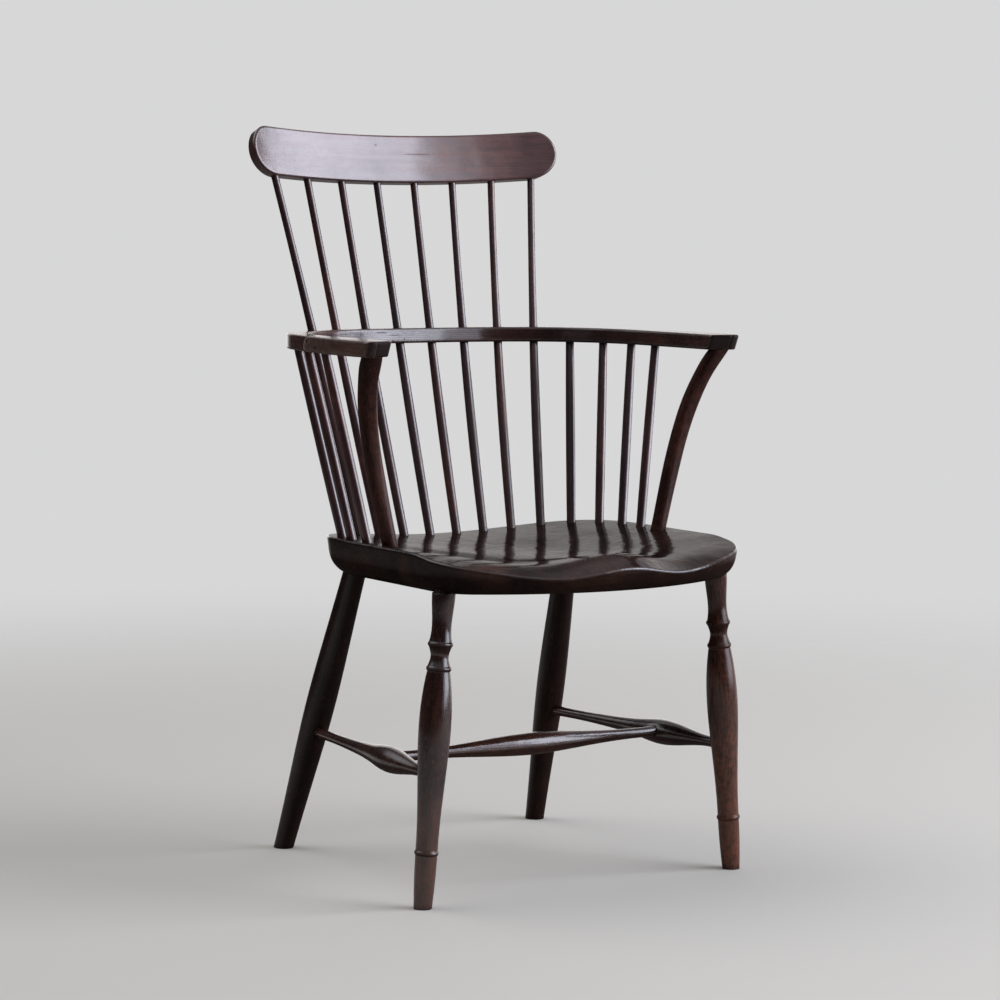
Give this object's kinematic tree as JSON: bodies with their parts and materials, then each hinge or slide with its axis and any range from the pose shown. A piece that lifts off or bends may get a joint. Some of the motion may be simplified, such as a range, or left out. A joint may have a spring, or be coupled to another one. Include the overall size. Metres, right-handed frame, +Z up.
{
  "type": "comb back windsor armchair",
  "caption": "Dark stained comb back windsor armchair: hollowed plank seat, turned legs and stretchers, bent arm bow, slender spindles and a curved comb rail.",
  "frame": {"origin": "on the floor, under the middle of the chair's outline seen from above", "axes": "+Z up, the chair faces -Y, +X to the right of someone facing the chair"},
  "size_m": [0.565, 0.5976, 0.9615],
  "materials": {
    "seat_wood": "dark stained and waxed, worn on the front edge",
    "leg_wood": "dark stained and waxed, rubbed to red brown",
    "arm_wood": "dark stained and waxed, rubbed to red brown",
    "spindle_wood": "dark stained and waxed",
    "comb_wood": "dark stained and waxed, polished by use",
    "nail_iron": "dark"
  },
  "bodies": {
    "root": {"seat": "seat_wood", "front_left_leg": "leg_wood", "front_right_leg": "leg_wood", "rear_left_leg": "leg_wood", "rear_right_leg": "leg_wood", "left_side_stretcher": "leg_wood", "right_side_stretcher": "leg_wood", "cross_stretcher": "leg_wood", "arm_bow": "arm_wood", "left_arm_piece": "arm_wood", "right_arm_piece": "arm_wood", "left_arm_support": "arm_wood", "right_arm_support": "arm_wood", "back_spindle_1": "spindle_wood", "back_spindle_2": "spindle_wood", "back_spindle_3": "spindle_wood", "back_spindle_4": "spindle_wood", "back_spindle_5": "spindle_wood", "back_spindle_6": "spindle_wood", "back_spindle_7": "spindle_wood", "back_spindle_8": "spindle_wood", "left_side_spindle_1": "spindle_wood", "left_side_spindle_2": "spindle_wood", "left_side_spindle_3": "spindle_wood", "left_side_spindle_4": "spindle_wood", "right_side_spindle_1": "spindle_wood", "right_side_spindle_2": "spindle_wood", "right_side_spindle_3": "spindle_wood", "right_side_spindle_4": "spindle_wood", "comb_rail": "comb_wood", "arm_nails": "nail_iron"}
  },
  "joints": []
}
